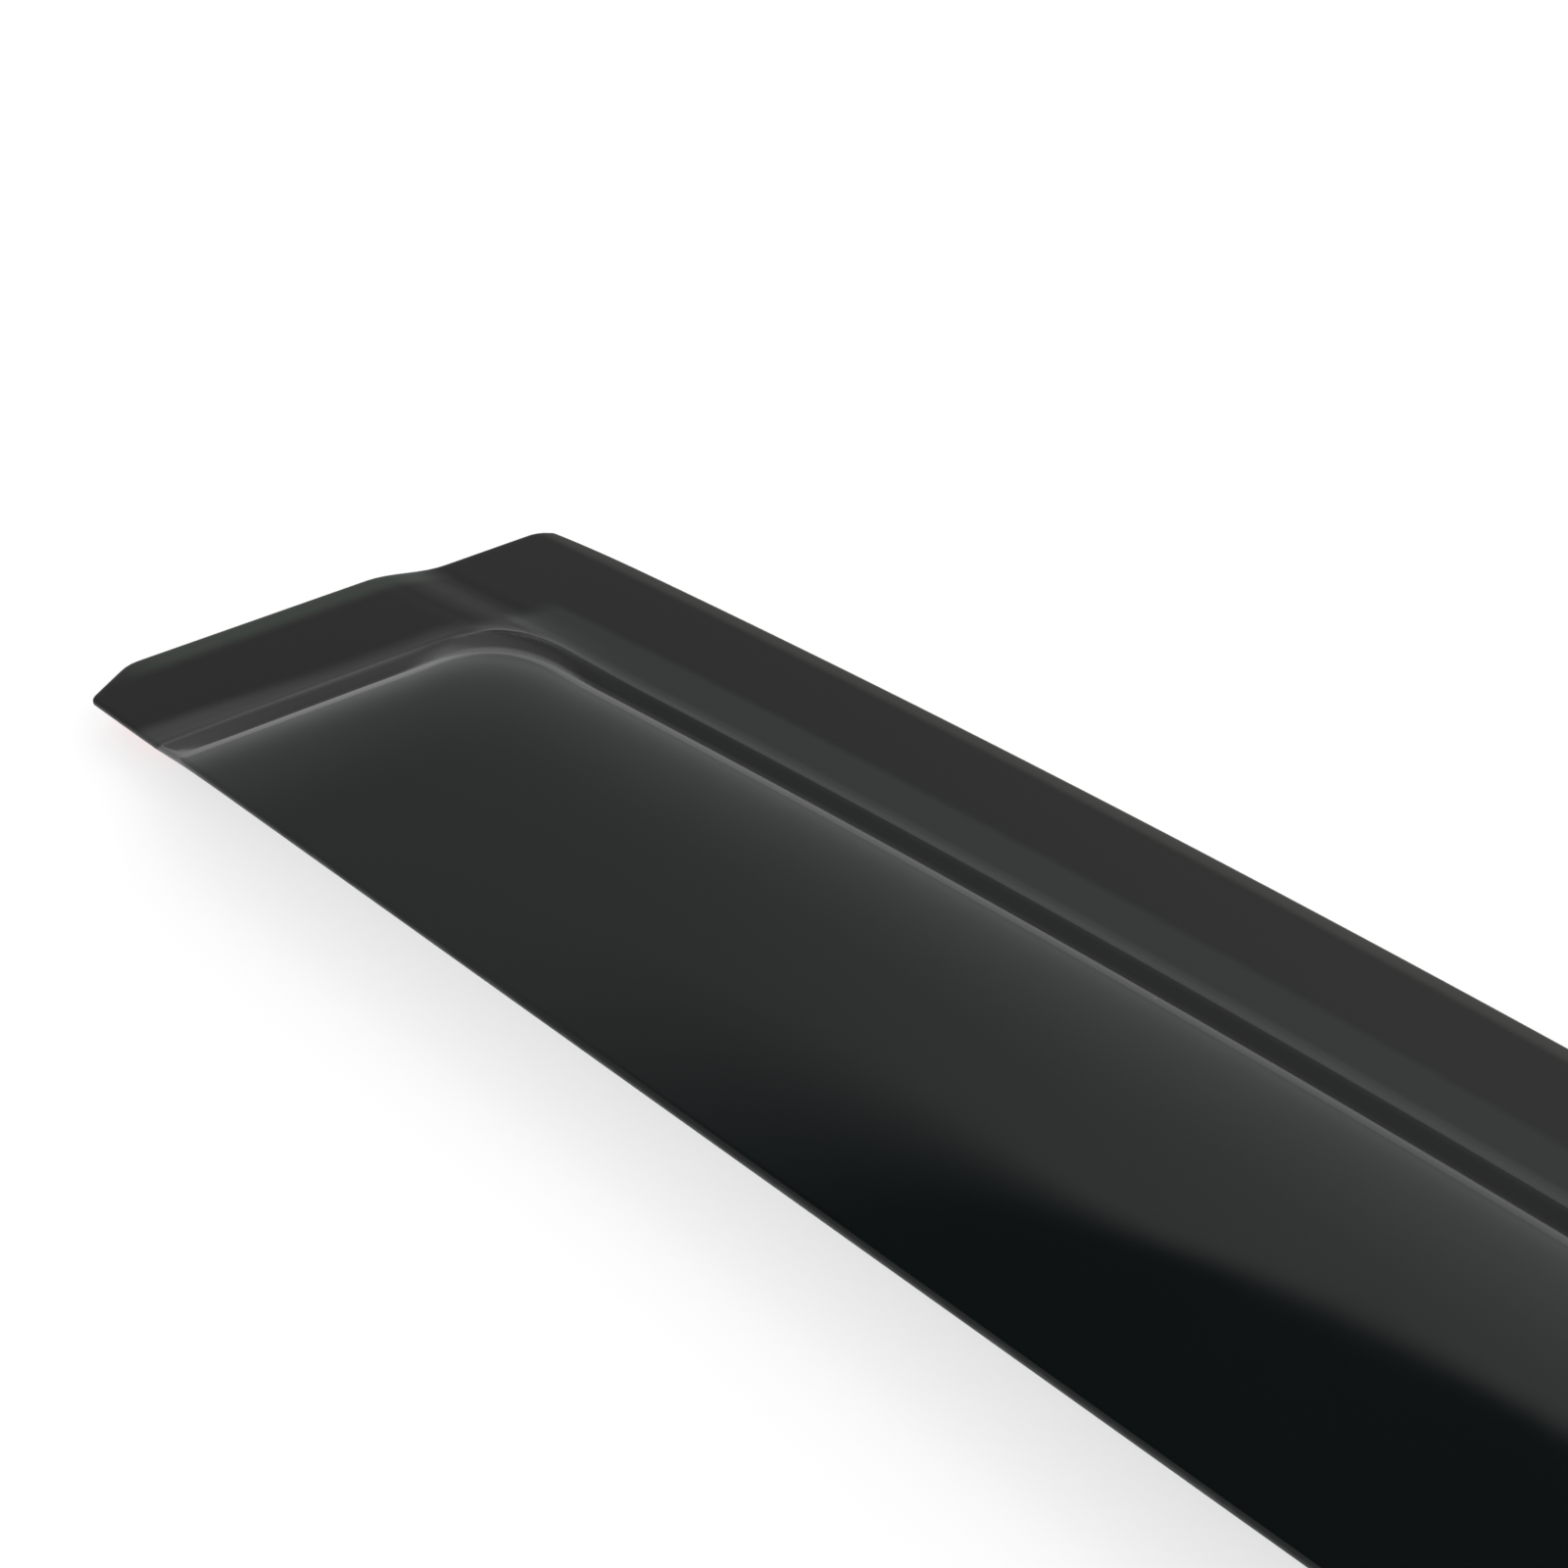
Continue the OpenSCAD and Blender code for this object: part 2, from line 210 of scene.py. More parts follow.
class StudioValues(bpy.types.PropertyGroup):
    """Floor, lights and camera of the stage."""

    floor: colour("Floor", "Pale table", (0.86, 0.86, 0.86))
    room_left: colour("Room Left", "Surroundings on the camera's left", (0.50, 0.50, 0.50))
    room_right: colour("Room Right", "Surroundings on the camera's right", (0.76, 0.76, 0.76))
    horizon: colour("Horizon", "Surroundings low down", (0.69, 0.69, 0.69))
    overhead: colour("Overhead", "Dark patch overhead", (0.03, 0.03, 0.03))
    overhead_left: lean("Overhead Left", "Half width of the dark patch on the left", 21.6)
    overhead_right: lean("Overhead Right", "Half width of the dark patch on the right", 23.9)
    blur_left: lean("Left Blur", "Width of the patch's soft edge on the left", 16)
    blur_right: lean("Right Blur", "Width of the patch's soft edge on the right", 1.9)
    overhead_tilt: lean("Overhead Tilt", "Lean of the patch to the camera's right", 6.8)
    key_power: amount("Key Power", "Strength of the large soft light", 12.0)
    lens: FloatProperty(name="Lens", description="Focal length on a 36 mm sensor, in mm",
                        default=42.75, min=1.0)
    pitch: lean("Pitch", "How far the camera looks down", 47)
    heading: lean("Heading", "View direction in plan, from +X", 128.98)
    camera_place: FloatVectorProperty(
        name="Camera Place", description="Where the camera stands", size=3,
        default=(0.0208, -0.1697, 0.2098), unit="LENGTH", subtype="TRANSLATION")


# Surface of the moulding


def ease(t):
    """Smooth step: 0 below 0, 1 above 1, and three squares less two cubes between."""
    t = np.clip(t, 0.0, 1.0)
    return t * t * (3.0 - 2.0 * t)


def quarter(t):
    """Height of a unit circle over its middle line, which falls from 1 to 0."""
    return np.sqrt(np.maximum(1.0 - np.square(t), 0.0))


def soft_min(a, b, reach):
    """The smaller of two values, less a parabola of their difference near the tie."""
    return np.minimum(a, b) - np.square(np.maximum(reach - np.abs(a - b), 0.0)) / (4.0 * reach)


def rounding(inset, radius):
    """Drop of a rounded rim: the radius less the circle's height at that inset."""
    away = np.maximum(radius - inset, 0.0)
    return radius - np.sqrt(radius * radius - away * away)


class MouldingSurface:
    """Outer face of the moulding, as a height over its plan.

    Places are measured from the crown of the upper edge, and heights from the
    outer face of the upper flange.
    """

    def __init__(self, sizes):
        self.sizes = sizes
        past_step = sizes.width - sizes.flange_width - sizes.step_run
        self.free_height = sizes.step_height - past_step ** 2 / (2.0 * sizes.face_radius)
        self.bend_start = sizes.right_length - sizes.taper_length
        self.bend_full = 1.0 - quarter(sizes.taper_turn)
        tip_free = -sizes.width + sizes.trim_slope * self.free_height
        self.bend_drop = -(tip_free + sizes.tip_width) - self.arch_drop(sizes.right_length)

    def arch_drop(self, x):
        """Drop of a circle from its crown: its radius less its height at x."""
        radius = self.sizes.arch_radius
        return radius - np.sqrt(radius ** 2 - np.square(x))

    def bend(self, x):
        """How far along its ellipse the bend to the tip is, as a share of its half axis."""
        sizes = self.sizes
        run = np.clip((x - self.bend_start) / sizes.taper_length, 0.0, 1.0)
        return run * sizes.taper_turn

    def upper_edge(self, x):
        """Upper edge: the arch, with a quarter ellipse taken off towards the tip."""
        ellipse = (1.0 - quarter(self.bend(x))) / self.bend_full
        return -self.arch_drop(x) - self.bend_drop * ellipse

    def upper_slope(self, x):
        """Slope of the upper edge: that of the circle plus that of the ellipse."""
        sizes = self.sizes
        bend = self.bend(x)
        pull = self.bend_drop * bend * sizes.taper_turn
        run = quarter(bend) * self.bend_full * sizes.taper_length
        return -x / np.sqrt(sizes.arch_radius ** 2 - np.square(x)) - pull / run

    def upper_stretch(self, x):
        """Length along the upper edge for each unit along x."""
        return np.sqrt(1.0 + np.square(self.upper_slope(x)))

    def cut_edge(self, x):
        """Edge as it is cut: the upper edge, less a parabola's dip at its left end."""
        sizes = self.sizes
        share = np.maximum(1.0 - (x + sizes.left_length) / sizes.dip_length, 0.0)
        return self.upper_edge(x) - sizes.end_dip * np.square(share)

    def from_upper(self, x, y):
        """Distance in from the upper edge: the drop below it over its stretch."""
        return (self.upper_edge(x) - y) / self.upper_stretch(x)

    def from_end(self, x, y):
        """Distance in from the straight end edge that leans at the end's angle."""
        sizes = self.sizes
        below = y - self.upper_edge(-sizes.left_length)
        return ((x + sizes.left_length) * math.cos(sizes.end_lean)
                - below * math.sin(sizes.end_lean))

    def climb(self, t):
        """Climb from 0 to 1: a parabola in the fillet, a line, then a cubic crest."""
        foot, crest = self.sizes.foot_share, self.sizes.crest_share
        rate = 1.0 / (foot / 2.0 + (1.0 - foot - crest) + crest / 3.0)
        t = np.clip(t, 0.0, 1.0)
        hollow = rate * t * t / (2.0 * foot)
        slope = rate * (t - foot / 2.0)
        rounded = 1.0 - rate * crest * ((1.0 - t) / crest) ** 3 / 3.0
        return np.where(t < foot, hollow, np.where(t < 1.0 - crest, slope, rounded))

    def step_share(self, x, y):
        """Share of the way up the step: the smaller of its two sides' shares, blended."""
        sizes = self.sizes
        s = (self.from_upper(x, y) - sizes.flange_width) / sizes.step_run
        e = (self.from_end(x, y) - sizes.end_flange_width) / sizes.end_step_run
        return soft_min(s, e, sizes.corner_blend)

    def height(self, x, y):
        """Height: the flange's level, plus what is left up to the face times the climb."""
        sizes = self.sizes
        s = self.from_upper(x, y) - sizes.flange_width
        e = self.from_end(x, y) - sizes.end_flange_width
        climbed = self.climb(self.step_share(x, y))
        raised = ease((s + sizes.flange_width - sizes.raise_from) / sizes.raise_run)
        base = sizes.end_raise * raised * (1.0 - ease(e / sizes.end_step_run))
        runout = (x - sizes.right_length + sizes.runout_length) / sizes.runout_length
        crest = sizes.step_height * (1.0 - ease(runout))
        fall = np.square(np.maximum(s - sizes.step_run, 0.0)) / (2.0 * sizes.face_radius)
        return base + (crest - base - fall) * climbed

    def free_edge(self, x):
        """Free edge: it lies further out by the slant times how much higher it is."""
        sizes = self.sizes
        higher = self.height(x, -sizes.width) - self.free_height
        return -sizes.width - sizes.trim_slope * higher

    def columns(self):
        """Starts of the lines down the moulding, on the upper edge, and their insets."""
        sizes = self.sizes
        rim = sizes.edge_radius * (1.0 - np.cos(RIM_TURNS))
        end_reach = sizes.end_flange_width + sizes.end_step_run
        left = -sizes.left_length + sizes.corner_reach
        near = np.concatenate([rim, np.linspace(sizes.edge_radius, end_reach, 52)[1:]])
        near = left + near / math.cos(sizes.end_lean)
        middle = np.linspace(near[-1], self.bend_start, 190)[1:]
        turn = np.radians(np.linspace(0.0, 90.0, 108))[1:-1]
        taper = self.bend_start + (sizes.taper_length - sizes.edge_radius) * np.sin(turn)
        tip = sizes.right_length - rim[::-1]
        x = np.concatenate([near, middle, taper, tip])
        inset = np.full(len(x), sizes.edge_radius)
        inset[:len(rim)] = rim
        inset[-len(rim):] = rim[::-1]
        return x, inset, near[-1], left

    def depths(self, full, stretch):
        """Depths down each line, with the rims kept and the rest squeezed to fit."""
        sizes = self.sizes
        rim = sizes.edge_radius * (1.0 - np.cos(RIM_TURNS))
        foot, crest = sizes.foot_share, sizes.crest_share
        marks = np.concatenate([
            np.linspace(sizes.edge_radius, sizes.corner_reach, 5)[1:],
            np.linspace(sizes.corner_reach, sizes.flange_width, 13)[1:],
            sizes.flange_width + sizes.step_run * np.concatenate([
                np.linspace(0.0, foot, 9)[1:],
                np.linspace(foot, 1.0 - crest, 7)[1:],
                np.linspace(1.0 - crest, 1.0, 27)[1:]])])
        face = 1.0 - np.linspace(1.0, 0.0, 26)[1:-1] ** 1.4
        full = full[:, None]
        reach = marks[-1] * stretch[:, None]
        squeeze = np.minimum(1.0, (full - 2.0 * sizes.edge_radius) / (reach * FACE_ROOM))
        start = reach * squeeze
        rows = [np.broadcast_to(rim, (len(full), len(rim))),
                np.maximum(marks * stretch[:, None] * squeeze, sizes.edge_radius * 1.001),
                start + (full - sizes.edge_radius - start) * face,
                full - rim[::-1]]
        inset = np.full(sum(row.shape[1] for row in rows), sizes.edge_radius)
        inset[:len(rim)] = rim
        inset[-len(rim):] = rim[::-1]
        return np.concatenate(rows, axis=1), inset

    def corner_shift(self, down, up):
        """Shift of the end edge: a quarter circle at the top, and the heel's eased cut."""
        sizes = self.sizes
        corner, turn = sizes.corner_reach, sizes.heel_round
        top = -corner * quarter(np.maximum(1.0 - down / corner, 0.0))
        share = np.maximum(1.0 - up / (sizes.heel_up * math.cos(sizes.end_lean)), 0.0)
        cut = np.where(share < HEEL_EASE, share ** 2 / (2.0 * HEEL_EASE),
                       share - HEEL_EASE / 2.0) / (1.0 - HEEL_EASE / 2.0)
        tight = turn * (1.0 - quarter(np.maximum(1.0 - up / turn, 0.0)))
        return top + (sizes.heel_in - turn) * cut + tight

    def plan(self):
        """Grid over the plan: lines across the moulding, each leaning with its end."""
        sizes = self.sizes
        x0, end_inset, even, left = self.columns()
        y0 = self.cut_edge(x0)
        slant = np.tan(sizes.end_lean * (1.0 - ease((x0 - even) / SQUARE_UP))
                       + sizes.tip_lean * ease((x0 - self.bend_start) / sizes.taper_length))
        low = self.free_edge(x0 - (y0 + sizes.width) * slant)
        full = y0 - low
        stretch = self.upper_stretch(x0) / (1.0 - self.upper_slope(x0) * slant)
        down, side_inset = self.depths(full, stretch)
        near = 1.0 - ease((x0 - left) / sizes.end_flange_width)
        shift = near[:, None] * self.corner_shift(down, full[:, None] - down)
        x = x0[:, None] - down * slant[:, None] + shift
        y = y0[:, None] - down
        inset = np.minimum(end_inset[:, None], side_inset[None, :])
        return x, y, inset

    def slopes(self, x, y):
        """Slopes of the height along x and y, from a small step to either side."""
        along = (self.height(x + PROBE, y) - self.height(x - PROBE, y)) / (2.0 * PROBE)
        across = (self.height(x, y + PROBE) - self.height(x, y - PROBE)) / (2.0 * PROBE)
        return along, across


# Meshes


def mesh_piece(name, points, faces, values=None):
    """Smooth mesh from an array of points, an array of quads and values for each point."""
    mesh = bpy.data.meshes.new(name)
    mesh.vertices.add(len(points))
    mesh.vertices.foreach_set("co", points.astype(np.float32).ravel())
    mesh.loops.add(faces.size)
    mesh.loops.foreach_set("vertex_index", faces.astype(np.int32).ravel())
    mesh.polygons.add(len(faces))
    mesh.polygons.foreach_set("loop_start", np.arange(0, faces.size, 4, dtype=np.int32))
    mesh.polygons.foreach_set("use_smooth", np.ones(len(faces), dtype=bool))
    mesh.update(calc_edges=True)
    for key, value in (values or {}).items():
        layer = mesh.attributes.new(key, "FLOAT", "POINT")
        layer.data.foreach_set("value", value.astype(np.float32).ravel())
    if mesh.validate():
        raise RuntimeError(f"the mesh of {name} isn't sound")
    piece = bpy.data.objects.new(name, mesh)
    bpy.context.scene.collection.objects.link(piece)
    return piece


def grid_quads(rows, columns):
    """Quads of a grid that runs along +X by its rows and towards -Y by its columns."""
    corner = (np.arange(rows - 1)[:, None] * columns + np.arange(columns - 1)).ravel()
    return np.stack([corner, corner + 1, corner + columns + 1, corner + columns], axis=1)


def grid_rim(rows, columns):
    """Indices of a grid's border in one loop, down its first row and back up its last."""
    index = np.arange(rows * columns).reshape(rows, columns)
    return np.concatenate([index[0, :-1], index[:-1, -1], index[-1, :0:-1], index[:0:-1, 0]])


def closed_sheet(top, bottom, sides=()):
    """Points and quads of a sheet: two grids joined along their borders.

    Each entry of sides is a whole loop of points, from the top grid's border
    down to the bottom grid's.
    """
    rows, columns = top.shape[:2]
    count = rows * columns
    quads = grid_quads(rows, columns)
    rim = grid_rim(rows, columns)
    loops = [rim] + [2 * count + k * len(rim) + np.arange(len(rim)) for k in range(len(sides))]
    loops.append(count + rim)
    joins = [np.stack([upper, lower, np.roll(lower, -1), np.roll(upper, -1)], axis=1)
             for upper, lower in zip(loops[:-1], loops[1:])]
    points = np.concatenate([top.reshape(-1, 3), bottom.reshape(-1, 3), *sides])
    return points, np.concatenate([quads, count + quads[:, ::-1], *joins])


def stack(x, y, z):
    """One array of points from arrays of their coordinates."""
    return np.stack(np.broadcast_arrays(x, y, z), axis=-1)


# Shader nodes


class Graph:
    """A node tree that is built by naming each node and what feeds its sockets."""

    def __init__(self, tree):
        self.tree = tree

    def feed(self, socket, value):
        """Join a socket to another, or set its value."""
        if isinstance(value, bpy.types.NodeSocket):
            self.tree.links.new(value, socket)
        else:
            socket.default_value = value

    def add(self, kind, feeds=None, **settings):
        """New node with its settings and the feeds of its sockets, by name or number."""
        node = self.tree.nodes.new(kind)
        node.location = (220 * len(self.tree.nodes), 0)
        for key, value in settings.items():
            setattr(node, key, value)
        for key, value in (feeds or {}).items():
            self.feed(node.inputs[key], value)
        return node

    def math(self, operation, first, second=0.0, clamp=False):
        """Result of one sum on two values."""
        node = self.add("ShaderNodeMath", {0: first, 1: second},
                        operation=operation, use_clamp=clamp)
        return node.outputs[0]

    def mul_add(self, value, scale, shift):
        """Value times a scale, plus a shift."""
        node = self.add("ShaderNodeMath", {0: value, 1: scale, 2: shift},
                        operation="MULTIPLY_ADD")
        return node.outputs[0]

    def mix(self, factor, first, second):
        """Colour that goes from the first to the second with the factor."""
        node = self.add("ShaderNodeMix", {0: factor, 6: first, 7: second}, data_type="RGBA")
        return node.outputs[2]

    def ramp(self, value, start, end, low=0.0, high=1.0):
        """Smooth ramp of a value from start to end."""
        node = self.add("ShaderNodeMapRange", {0: value, 1: start, 2: end, 3: low, 4: high},
                        interpolation_type="SMOOTHSTEP")
        return node.outputs[0]

    def noise(self, vector, scale, detail=2.0, roughness=0.5):
        """Noise from 0 to 1 at a scale."""
        node = self.add("ShaderNodeTexNoise", {"Vector": vector, "Scale": scale,
                                               "Detail": detail, "Roughness": roughness})
        return node.outputs["Fac"]

    def attribute(self, name):
        """Value that the piece's mesh holds for each point."""
        return self.add("ShaderNodeAttribute", attribute_name=name).outputs["Fac"]

    def place(self):
        """Place on the piece, in metres."""
        return self.add("ShaderNodeTexCoord").outputs["Object"]


def new_group(name, inputs, outputs):
    """Empty shader group with its named sockets, and the graph to fill it."""
    tree = bpy.data.node_groups.new(name, "ShaderNodeTree")
    for label, kind, value in inputs:
        socket = tree.interface.new_socket(name=label, in_out="INPUT", socket_type=kind)
        if value is not None:
            socket.default_value = value
    for label, kind in outputs:
        tree.interface.new_socket(name=label, in_out="OUTPUT", socket_type=kind)
    graph = Graph(tree)
    return graph, graph.add("NodeGroupInput").outputs, graph.add("NodeGroupOutput").inputs


NUMBER, VECTOR = "NodeSocketFloat", "NodeSocketVector"


def band_group():
    """Mask of a band between two distances from an edge, with soft borders."""
    name = "Band Between Two Distances"
    if name in bpy.data.node_groups:
        return bpy.data.node_groups[name]
    graph, given, out = new_group(
        name,
        [("Distance", NUMBER, 0.0), ("Start", NUMBER, 0.0), ("End", NUMBER, 1.0),
         ("Softness", NUMBER, 0.1)],
        [("Mask", NUMBER)])
    half = graph.math("MULTIPLY", given["Softness"], 0.5)
    rise = graph.ramp(given["Distance"], graph.math("SUBTRACT", given["Start"], half),
                      graph.math("ADD", given["Start"], half))
    fall = graph.ramp(given["Distance"], graph.math("SUBTRACT", given["End"], half),
                      graph.math("ADD", given["End"], half), 1.0, 0.0)
    graph.feed(out["Mask"], graph.math("MULTIPLY", rise, fall))
    return graph.tree


def dust_group():
    """Mask of scattered dust: small dots in the few cells whose random value is high."""
    name = "Scattered Dust"
    if name in bpy.data.node_groups:
        return bpy.data.node_groups[name]
    graph, given, out = new_group(
        name,
        [("Vector", VECTOR, None), ("Scale", NUMBER, 400.0), ("Size", NUMBER, 0.12),
         ("Share", NUMBER, 0.02)],
        [("Mask", NUMBER)])
    cells = graph.add("ShaderNodeTexVoronoi",
                      {"Vector": given["Vector"], "Scale": given["Scale"]}, feature="F1")
    dot = graph.ramp(cells.outputs["Distance"], given["Size"],
                     graph.math("MULTIPLY", given["Size"], 0.4))
    luck = graph.add("ShaderNodeSeparateColor", {0: cells.outputs["Color"]}).outputs[0]
    chosen = graph.math("LESS_THAN", luck, given["Share"])
    graph.feed(out["Mask"], graph.math("MULTIPLY", dot, chosen))
    return graph.tree


def wear_and_edge_glint_group():
    """Mask along the edges, strongest at the edge and broken up by noise: rubbed wear on the
    liner, a painted highlight on the acrylic.
    """
    name = "Rubbed Edge"
    if name in bpy.data.node_groups:
        return bpy.data.node_groups[name]
    graph, given, out = new_group(
        name,
        [("Vector", VECTOR, None), ("Distance", NUMBER, 0.0), ("Reach", NUMBER, 1.0),
         ("Scale", NUMBER, 300.0)],
        [("Mask", NUMBER)])
    near = graph.ramp(given["Distance"], given["Reach"], 0.0)
    broken = graph.ramp(graph.noise(given["Vector"], given["Scale"], 3.0), 0.35, 0.65)
    graph.feed(out["Mask"], graph.math("MULTIPLY", near, broken))
    return graph.tree


def new_material(name):
    """Material with one Principled shader, its graph and the shader node."""
    material = bpy.data.materials.new(name)
    material.use_nodes = True
    graph = Graph(material.node_tree)
    shader = next(node for node in graph.tree.nodes if node.type == "BSDF_PRINCIPLED")
    return material, graph, shader


def use_group(graph, tree, feeds):
    """Place a shader group and give its first output."""
    node = graph.add("ShaderNodeGroup", node_tree=tree)
    for key, value in feeds.items():
        graph.feed(node.inputs[key], value)
    return node.outputs[0]


def opaque(colour_value):
    """Colour with full opacity, as a colour socket wants it."""
    return (*colour_value, 1.0)


def acrylic_masks(graph, moulding, strips):
    """Masks of the moulding's bands, from its two distances and its share of the step. Six of
    them place painted light in the colour, and the rest weaken the gloss or add haze.
    """
    upper = graph.attribute("from_upper_mm")
    end = graph.attribute("from_end_mm")
    share = graph.attribute("step_share")
    flange = moulding.flange_width / MM
    end_flange = moulding.end_flange_width / MM
    rise_from = moulding.raise_from / MM
    rise_to = rise_from + moulding.raise_run / MM
    tape_inner = (strips.tape_rim + strips.tape_width) / MM

    def band(distance, start, stop, softness):
        return use_group(graph, band_group(), {"Distance": distance, "Start": start,
                                               "End": stop, "Softness": softness})

    def product(*parts):
        result = parts[0]
        for part in parts[1:]:
            result = graph.math("MULTIPLY", result, part)
        return result

    apart = graph.math("ABSOLUTE", graph.math(
        "SUBTRACT",
        graph.mul_add(upper, MM / moulding.step_run, -flange * MM / moulding.step_run),
        graph.mul_add(end, MM / moulding.end_step_run,
                      -end_flange * MM / moulding.end_step_run)))
    groove = product(graph.ramp(share, 0.01, 0.08), graph.ramp(share, 0.38, 0.31))
    past_end = graph.ramp(end, end_flange - 2.0, end_flange + 2.0)
    below = graph.ramp(upper, flange + 4.0, flange + 12.0)
    on_end = graph.ramp(end, end_flange + 2.0, end_flange - 1.0)
    drifted = graph.math("ADD", end, graph.ramp(upper, 45.0, 75.0, 0.0, 1.5))
    return {
        # Painted light where the table shows through the bare upper flange strip
        "strip": product(band(upper, tape_inner + 0.4, flange + 0.6, 1.6), past_end,
                         graph.ramp(end, 40.0, 260.0, 1.0, 0.62)),
        # Painted highlight along the upper fold
        "painted_fold_highlight": product(band(upper, flange - 0.6, flange + 1.3, 1.2), past_end),
        # Painted light: a broad highlight along the end fold, over the bare end strip
        "painted_end_fold_light": product(below, graph.ramp(drifted, end_flange - 2.7, end_flange + 0.4),
                             graph.ramp(drifted, end_flange + 5.0, end_flange + 2.0),
                             graph.ramp(upper, 45.0, 68.0, 0.66, 1.0)),
        # Painted light: the table's glow seen through the acrylic at the crest
        "crest": product(graph.ramp(share, 0.34, 0.46), graph.ramp(share, 1.25, 0.75)),
        # Painted light along the bare upper rim outside the tape
        "painted_upper_rim_light": graph.ramp(upper, 3.2, 1.6),
        # Painted light along the bare end rim outside the tape
        "painted_end_rim_light": product(graph.ramp(end, 5.4, 2.4), graph.ramp(upper, 18.0, 26.0),
                           graph.ramp(graph.attribute("from_free_mm"), 2.0, 14.0)),
        "groove": product(groove, graph.ramp(upper, 46.0, 34.0),
                          graph.ramp(end, 20.0, 190.0, 1.0, 0.55)),
        "end_groove": product(groove, graph.ramp(upper, 36.0, 62.0)),
        "corner": product(graph.ramp(share, 0.06, 0.14), graph.ramp(share, 0.41, 0.37),
                          graph.ramp(apart, 0.7, 0.25)),
        "fold": product(below, band(share, 0.03, 0.085, 0.03)),
        "line": product(graph.ramp(share, 0.36, 0.39), graph.ramp(share, 0.52, 0.44),
                        graph.ramp(upper, 44.0, 36.0)),
        "rise": product(on_end, band(upper, rise_from + 0.5, rise_to - 1.5, 3.0)),
        "rise_top": product(on_end, band(upper, rise_to - 5.5, rise_to - 2.0, 2.0)),
    }


def smoked_acrylic(moulding, strips, finish):
    """Smoked acrylic: deep gloss over near black, with painted light on the outer face where
    no tape backs the flange, along the folds, at the crest and on the rims, and a painted
    highlight along its cut edges.
    """
    material, graph, shader = new_material("smoked_acrylic")
    place = graph.place()
    nearest = graph.attribute("from_rim_mm")
    outside = graph.attribute("outer_face")
    masks = acrylic_masks(graph, moulding, strips)
    base = graph.mix(graph.ramp(graph.attribute("step_share"), 0.75, 1.25),
                     opaque(finish.backed), opaque(finish.smoke))
    cloudy = graph.ramp(graph.noise(place, 40.0, 3.0), 0.2, 0.8, 0.85, 1.0)
    # Painted light: each band lightens the outer face, broken up by random tone
    for name, tint in (("strip", finish.painted_see_through), ("painted_fold_highlight", finish.painted_fold_highlight),
                       ("painted_end_fold_light", finish.painted_end_fold_light),
                       ("crest", finish.crest), ("painted_upper_rim_light", finish.painted_upper_rim_light),
                       ("painted_end_rim_light", finish.painted_end_rim_light)):
        shown = graph.math("MULTIPLY", graph.math("MULTIPLY", masks[name], outside), cloudy)
        base = graph.mix(shown, base, opaque(tint))
    # Painted highlight along the cut rims, broken up by noise
    edge = use_group(graph, wear_and_edge_glint_group(), {"Vector": place, "Distance": nearest,
                                           "Reach": 0.45, "Scale": 260.0})
    base = graph.mix(graph.math("MULTIPLY", edge, 0.8), base, opaque(finish.cut))
    dust = use_group(graph, dust_group(), {"Vector": place, "Scale": 210.0, "Size": 0.05,
                                           "Share": 0.02})
    base = graph.mix(dust, base, (0.16, 0.15, 0.12, 1.0))
    graph.feed(shader.inputs["Base Color"], base)

    haze = graph.ramp(graph.noise(place, 28.0, 4.0, 0.6), 0.35, 0.75,
                      finish.gloss, finish.gloss + 0.035)
    haze = graph.math("ADD", haze, graph.math("MULTIPLY", edge, 0.12))
    haze = graph.math("ADD", haze, graph.math("MULTIPLY", masks["corner"],
                                              finish.corner_haze))
    haze = graph.math("ADD", haze, graph.math("MULTIPLY", dust, 0.5), clamp=True)
    graph.feed(shader.inputs["Roughness"], haze)
    shader.inputs["IOR"].default_value = 1.49
    gloss = 0.5
    for name, left in (("groove", finish.groove_gloss), ("end_groove", finish.end_gloss),
                       ("fold", finish.fold_gloss), ("line", finish.line_gloss),
                       ("rise", finish.rise_gloss), ("rise_top", finish.top_gloss)):
        gloss = graph.math("MULTIPLY", gloss, graph.mul_add(masks[name], left - 1.0, 1.0))
    graph.feed(shader.inputs["Specular IOR Level"], gloss)

    swell = graph.noise(place, 55.0, 1.0)
    bump = graph.add("ShaderNodeBump", {"Height": swell, "Strength": 0.2,
                                        "Distance": 0.02 * MM})
    graph.feed(shader.inputs["Normal"], bump.outputs[0])
    return material


def foam(finish):
    """Closed-cell foam: matt near black, with fine cells in its relief, painted shade in the
    cells' hollows, and random tone.
    """
    material, graph, shader = new_material("closed_cell_foam")
    place = graph.place()
    cells = graph.add("ShaderNodeTexVoronoi", {"Vector": place, "Scale": 4200.0}, feature="F1")
    # Painted shade: the cells' hollows darker than their walls, with random tone from the
    # cloud
    shade = graph.ramp(cells.outputs["Distance"], 0.0, 0.7)
    cloud = graph.noise(place, 160.0, 3.0)
    dark = tuple(0.45 * part for part in finish.foam)
    pale = tuple(1.7 * part for part in finish.foam)
    base = graph.mix(graph.math("MULTIPLY", shade, graph.ramp(cloud, 0.3, 0.7, 0.5, 1.0)),
                     opaque(dark), opaque(pale))
    dust = use_group(graph, dust_group(), {"Vector": place, "Scale": 500.0, "Size": 0.1,
                                           "Share": 0.03})
    base = graph.mix(dust, base, (0.2, 0.19, 0.17, 1.0))
    graph.feed(shader.inputs["Base Color"], base)
    graph.feed(shader.inputs["Roughness"], graph.ramp(cloud, 0.3, 0.7, 0.78, 0.95))
    bump = graph.add("ShaderNodeBump", {"Height": shade, "Strength": 0.6,
                                        "Distance": 0.06 * MM})
    graph.feed(shader.inputs["Normal"], bump.outputs[0])
    return material


